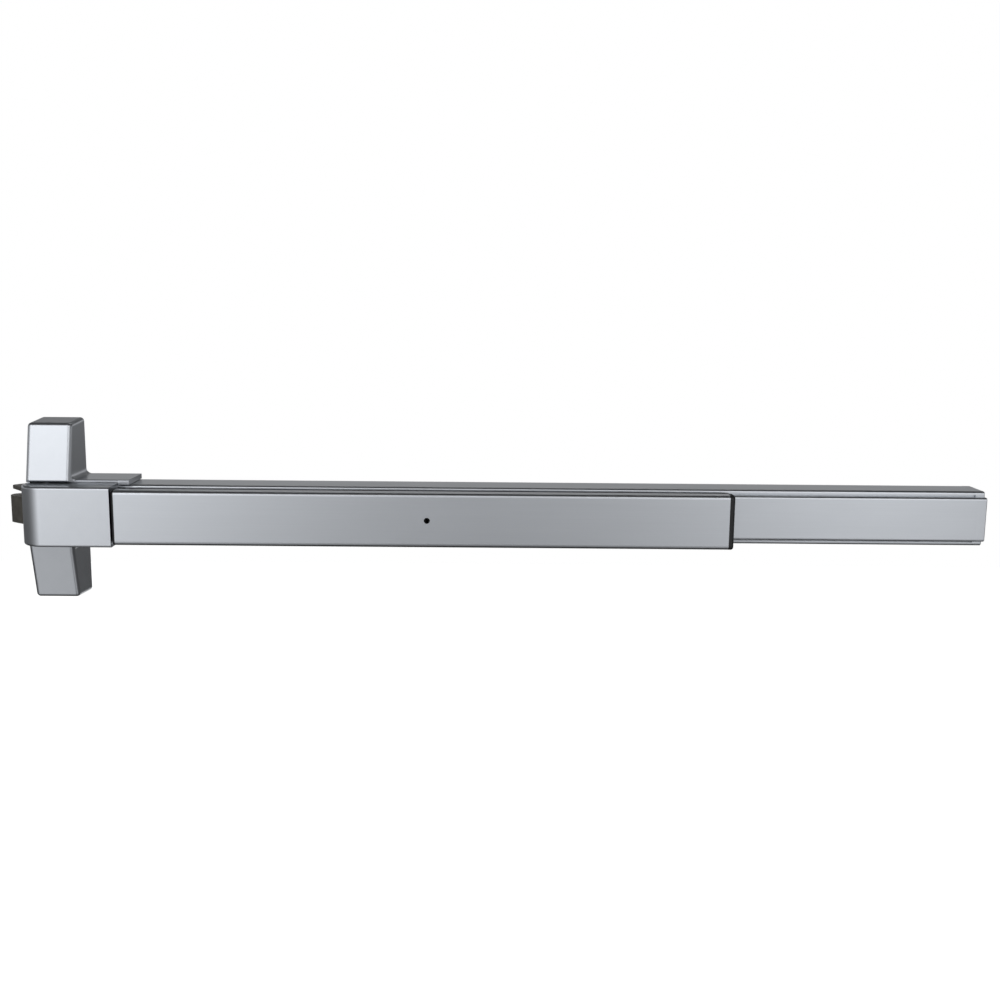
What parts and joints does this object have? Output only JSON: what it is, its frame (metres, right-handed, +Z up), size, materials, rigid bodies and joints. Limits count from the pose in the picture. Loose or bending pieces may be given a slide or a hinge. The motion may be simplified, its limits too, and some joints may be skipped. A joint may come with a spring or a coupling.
{
  "type": "panic exit bar",
  "caption": "Rim-type exit device with a sprung push pad in an extruded channel, a cast latch head with an upper and a lower tower, a pivoting latch bolt and a guard blade.",
  "frame": {"origin": "on the door's face at the centre of the head's four mounting holes", "axes": "+X along the bar from the latch side to the hinge side, +Y into the door, +Z up"},
  "size_m": [0.8703, 0.0672, 0.1608],
  "materials": {
    "painted_zinc": "satin silver paint",
    "anodised_aluminium": "satin anodised",
    "black_nylon": "moulded, fine grain",
    "latch_steel": "cast and tumbled, dark",
    "spring_steel": "drawn wire, oiled",
    "bright_steel": "turned, bright zinc",
    "zinc_plated_steel": "pressed, zinc plated"
  },
  "bodies": {
    "frame": {"chassis": "zinc_plated_steel", "case_cover": "painted_zinc", "nose_cover": "painted_zinc", "latch_bracket": "zinc_plated_steel", "latch_pin": "bright_steel", "latch_spacer": "bright_steel", "latch_spring": "spring_steel", "deadlatch_spring": "spring_steel", "housing": "anodised_aluminium", "pivot_clips": "bright_steel", "rod_guide": "zinc_plated_steel", "return_spring": "spring_steel", "dogging_bracket": "zinc_plated_steel", "end_cover": "anodised_aluminium", "end_bracket": "zinc_plated_steel", "end_spacer": "zinc_plated_steel", "channel_end_cap": "painted_zinc", "channel_rivets": "bright_steel", "latch_bracket_rivets": "bright_steel", "housing_screws": "bright_steel", "cover_screws": "bright_steel", "crank_bracket_left": "zinc_plated_steel", "crank_bracket_right": "zinc_plated_steel", "crank_pivot_left": "bright_steel", "crank_pivot_right": "bright_steel"},
    "push_bar": {"push_pad": "anodised_aluminium", "pad_cap_left": "black_nylon", "pad_cap_right": "black_nylon", "pad_bracket_left": "zinc_plated_steel", "pad_bracket_right": "zinc_plated_steel"},
    "left_crank": {"crank_left": "zinc_plated_steel", "crank_pins_left": "bright_steel"},
    "right_crank": {"crank_right": "zinc_plated_steel", "crank_pins_right": "bright_steel"},
    "rod": {"actuating_rod": "zinc_plated_steel", "spring_collar": "zinc_plated_steel"},
    "bolt": {"latch_bolt": "latch_steel", "latch_tail_pin": "bright_steel"},
    "guard_blade": {"deadlatch": "latch_steel"},
    "dog": {"dogging_screw": "bright_steel", "dogging_hook": "zinc_plated_steel"}
  },
  "joints": [
    {"name": "pad_press", "type": "slide", "parent": "frame", "child": "push_bar", "axis": [0, 1, 0], "range_m": [0, 0.0095], "stiffness_N_per_m": 2500, "springref_m": -0.006, "deforming": ["return_spring"]},
    {"name": "left_crank_turn", "type": "hinge", "parent": "frame", "child": "left_crank", "pos_m": [0.15, -0.0328, 0], "axis": [0, 0, 1], "range_deg": [-21, 0]},
    {"name": "right_crank_turn", "type": "hinge", "parent": "frame", "child": "right_crank", "pos_m": [0.52, -0.0328, 0], "axis": [0, 0, 1], "range_deg": [-21, 0]},
    {"name": "rod_pull", "type": "slide", "parent": "frame", "child": "rod", "axis": [1, 0, 0], "range_m": [0, 0.00732]},
    {"name": "bolt_turn", "type": "hinge", "parent": "frame", "child": "bolt", "pos_m": [-0.009, -0.013, 0], "axis": [0, 0, 1], "range_deg": [0, 62.1]},
    {"name": "guard_blade_turn", "type": "hinge", "parent": "frame", "child": "guard_blade", "pos_m": [-0.009, -0.013, 0.0199], "axis": [0, 0, 1], "range_deg": [0, 52], "stiffness_Nm_per_rad": 0.04, "springref_deg": -22.92},
    {"name": "dogging_turn", "type": "hinge", "parent": "frame", "child": "dog", "pos_m": [0.333, -0.028, 0], "axis": [0, 1, 0], "range_deg": [0, 90]}
  ],
  "couplings": [
    {"joint": "left_crank_turn", "follows": "pad_press", "rad_per_m": -38.462},
    {"joint": "right_crank_turn", "follows": "pad_press", "rad_per_m": -38.462},
    {"joint": "rod_pull", "follows": "pad_press", "ratio": 0.76923},
    {"joint": "bolt_turn", "follows": "pad_press", "rad_per_m": 113.91}
  ]
}
